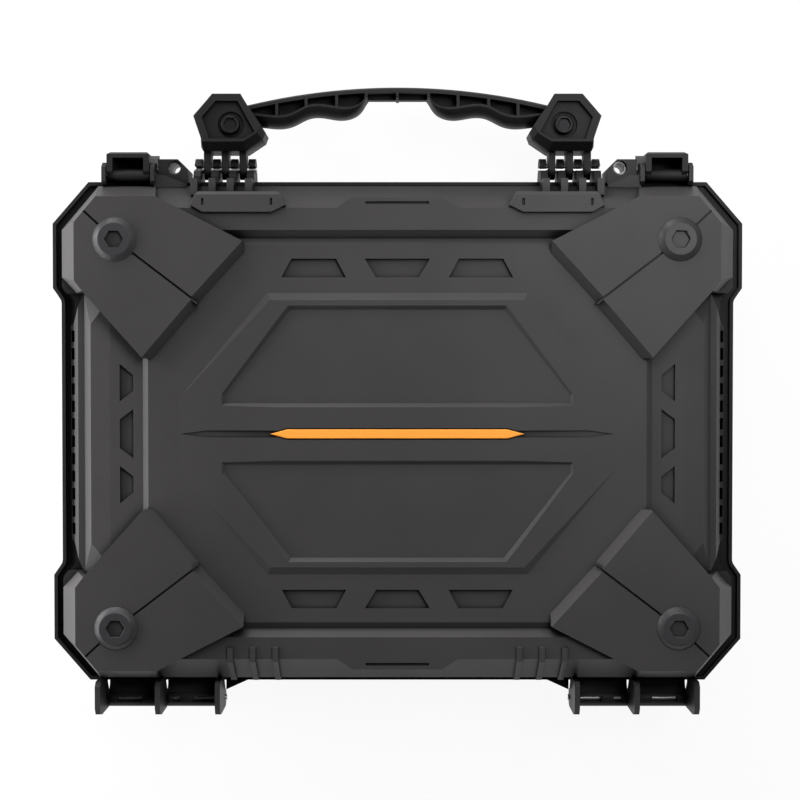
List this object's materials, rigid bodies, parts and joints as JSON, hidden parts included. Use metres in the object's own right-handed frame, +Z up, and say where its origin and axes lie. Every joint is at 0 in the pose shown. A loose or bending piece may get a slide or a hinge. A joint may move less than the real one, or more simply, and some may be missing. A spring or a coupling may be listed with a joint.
{
  "type": "laptop hard case",
  "caption": "Rugged hard case for a laptop: foam-lined tub, hinged armoured lid, lever latches, padlock eyes and a folding carrying handle.",
  "frame": {"origin": "centre of the face that the case rests on, under the middle of the base", "axes": "+Z up out of the lid, -Y to the front with handle and latches, +Y to the hinges, +X to the right"},
  "size_m": [0.4288, 0.3857, 0.0918],
  "materials": {
    "lid_plastic": "fine satin texture, charcoal",
    "guard_plastic": "fine satin texture, charcoal",
    "base_plastic": "fine texture, near black",
    "handle_plastic": "moulded grip texture, near black",
    "latch_plastic": "satin, near black",
    "bolt_plastic": "satin, charcoal",
    "accent": "orange, semi-gloss",
    "steel": "drawn steel",
    "dark_steel": "blackened steel",
    "foam": "dark grey open-cell foam",
    "seal_rubber": "matt black rubber"
  },
  "bodies": {
    "base": {"base_shell": "base_plastic", "base_foam": "foam", "rim_gasket": "seal_rubber", "base_padlock_sleeves": "steel", "hinge_pin_left": "steel", "hinge_pin_right": "steel", "handle_pin_left": "steel", "handle_pin_right": "steel"},
    "lid": {"lid_shell": "lid_plastic", "lid_foam": "foam", "accent_strip": "accent", "lid_padlock_sleeves": "steel", "corner_guard_front_left": "guard_plastic", "corner_guard_front_right": "guard_plastic", "corner_guard_rear_left": "guard_plastic", "corner_guard_rear_right": "guard_plastic", "corner_bolt_front_left": "bolt_plastic", "corner_bolt_front_right": "bolt_plastic", "corner_bolt_rear_left": "bolt_plastic", "corner_bolt_rear_right": "bolt_plastic", "handle_hood_left": "lid_plastic", "handle_hood_right": "lid_plastic", "latch_pin_left": "steel", "latch_pin_right": "steel"},
    "handle": {"handle_grip": "handle_plastic", "handle_pod_left": "handle_plastic", "handle_pod_right": "handle_plastic", "pod_bolt_left": "dark_steel", "pod_bolt_right": "dark_steel"},
    "latch_left": {"latch_lever_left": "latch_plastic"},
    "latch_right": {"latch_lever_right": "latch_plastic"}
  },
  "joints": [
    {"name": "lid_hinge", "type": "hinge", "parent": "base", "child": "lid", "pos_m": [0, 0.167, 0.047], "axis": [-1, 0, 0], "range_deg": [0, 100]},
    {"name": "latch_left_pivot", "type": "hinge", "parent": "lid", "child": "latch_left", "pos_m": [-0.1647, -0.158, 0.06], "axis": [-1, 0, 0], "range_deg": [0, 95]},
    {"name": "latch_right_pivot", "type": "hinge", "parent": "lid", "child": "latch_right", "pos_m": [0.1647, -0.158, 0.06], "axis": [-1, 0, 0], "range_deg": [0, 95]},
    {"name": "handle_pivot", "type": "hinge", "parent": "base", "child": "handle", "pos_m": [0, -0.163, 0.047], "axis": [-1, 0, 0], "range_deg": [-50, 50]}
  ]
}
